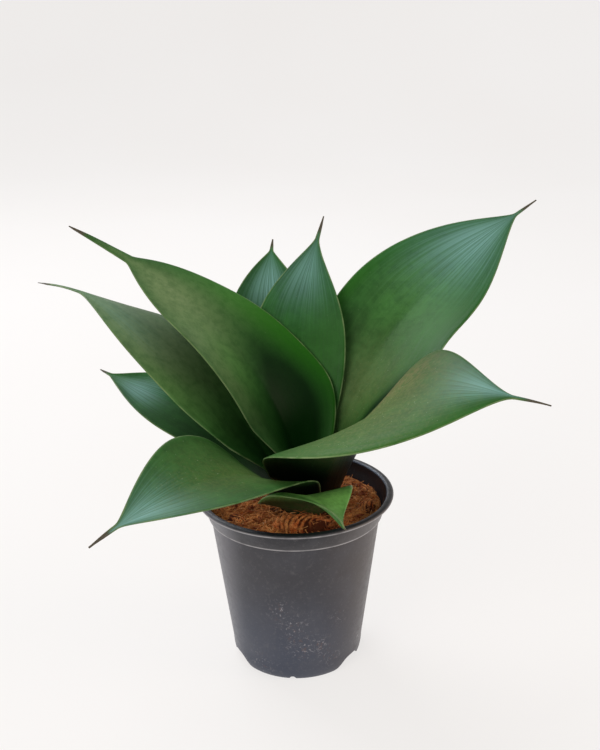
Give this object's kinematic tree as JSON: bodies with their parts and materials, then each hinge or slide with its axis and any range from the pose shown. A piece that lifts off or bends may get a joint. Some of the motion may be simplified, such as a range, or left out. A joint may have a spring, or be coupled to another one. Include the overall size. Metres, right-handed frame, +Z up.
{
  "type": "potted snake plant",
  "caption": "A bird's-nest snake plant with broad pointed leaves in a rosette, growing in coir in a round plastic nursery pot",
  "frame": {"origin": "the middle of the pot's flat underside, on the pot's axis, where it rests on a table", "axes": "+Z up along the pot's axis; -Y the front, which the small drooping leaf faces; +X to the right seen from the front"},
  "size_m": [0.2779, 0.2305, 0.2301],
  "materials": {
    "pot_plastic": "satin moulded polypropylene, dark blue-grey, dusty",
    "coir": "matte fibrous coir, orange-brown",
    "husk": "matte fibrous coconut husk",
    "rootstock": "matte dry leaf-base tissue",
    "leaf": "waxy leaf skin with a soft sheen, pale margins and dry brown spines"
  },
  "bodies": {
    "root": {"nursery_pot": "pot_plastic", "coir_medium": "coir", "husk_front": "husk", "husk_front_right": "husk", "husk_right": "husk", "husk_right_rear": "husk", "husk_left": "husk", "husk_rear_left": "husk", "rootstock": "rootstock", "leaf_inner_left": "leaf", "leaf_upright": "leaf", "leaf_outer_left": "leaf", "leaf_tall_right": "leaf", "leaf_back": "leaf", "leaf_flared_right": "leaf", "leaf_low_left": "leaf", "leaf_front_left": "leaf", "leaf_small_front": "leaf"}
  },
  "joints": []
}
